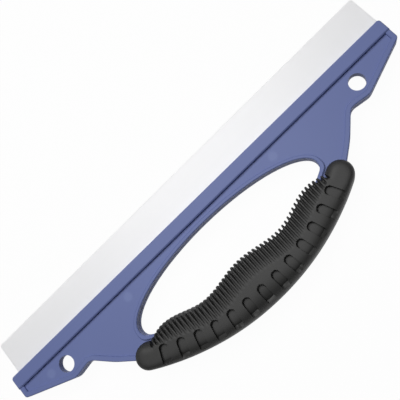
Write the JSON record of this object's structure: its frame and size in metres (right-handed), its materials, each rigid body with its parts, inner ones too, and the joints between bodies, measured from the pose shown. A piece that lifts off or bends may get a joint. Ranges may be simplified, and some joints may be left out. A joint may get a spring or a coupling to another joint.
{
  "type": "car drying squeegee",
  "caption": "Hand squeegee with a wide translucent silicone blade clamped in a blue two-shell frame and a bowed ribbed black grip, for wiping water off car panels and glass.",
  "frame": {"origin": "centre of the bounding box, on the seam plane between the front and back shells", "axes": "+X along the blade, +Y towards the wiping edge, +Z out of the front face, with the squeegee lying on its back"},
  "size_m": [0.31, 0.0987, 0.022],
  "materials": {
    "frame": "satin moulded plastic, slate blue",
    "grip": "fine matte thermoplastic rubber, near black",
    "blade": "milky translucent silicone rubber"
  },
  "bodies": {
    "frame": {"front_frame_shell": "frame", "back_frame_shell": "frame", "front_grip": "grip", "back_grip": "grip", "blade_root": "blade"},
    "blade": {"blade_lip": "blade"}
  },
  "joints": [
    {"name": "blade_flex", "type": "hinge", "parent": "frame", "child": "blade", "pos_m": [0, 0.02735, 0], "axis": [1, 0, 0], "range_deg": [-30, 30], "stiffness_Nm_per_rad": 0.12, "deforming": ["blade_lip"]}
  ]
}
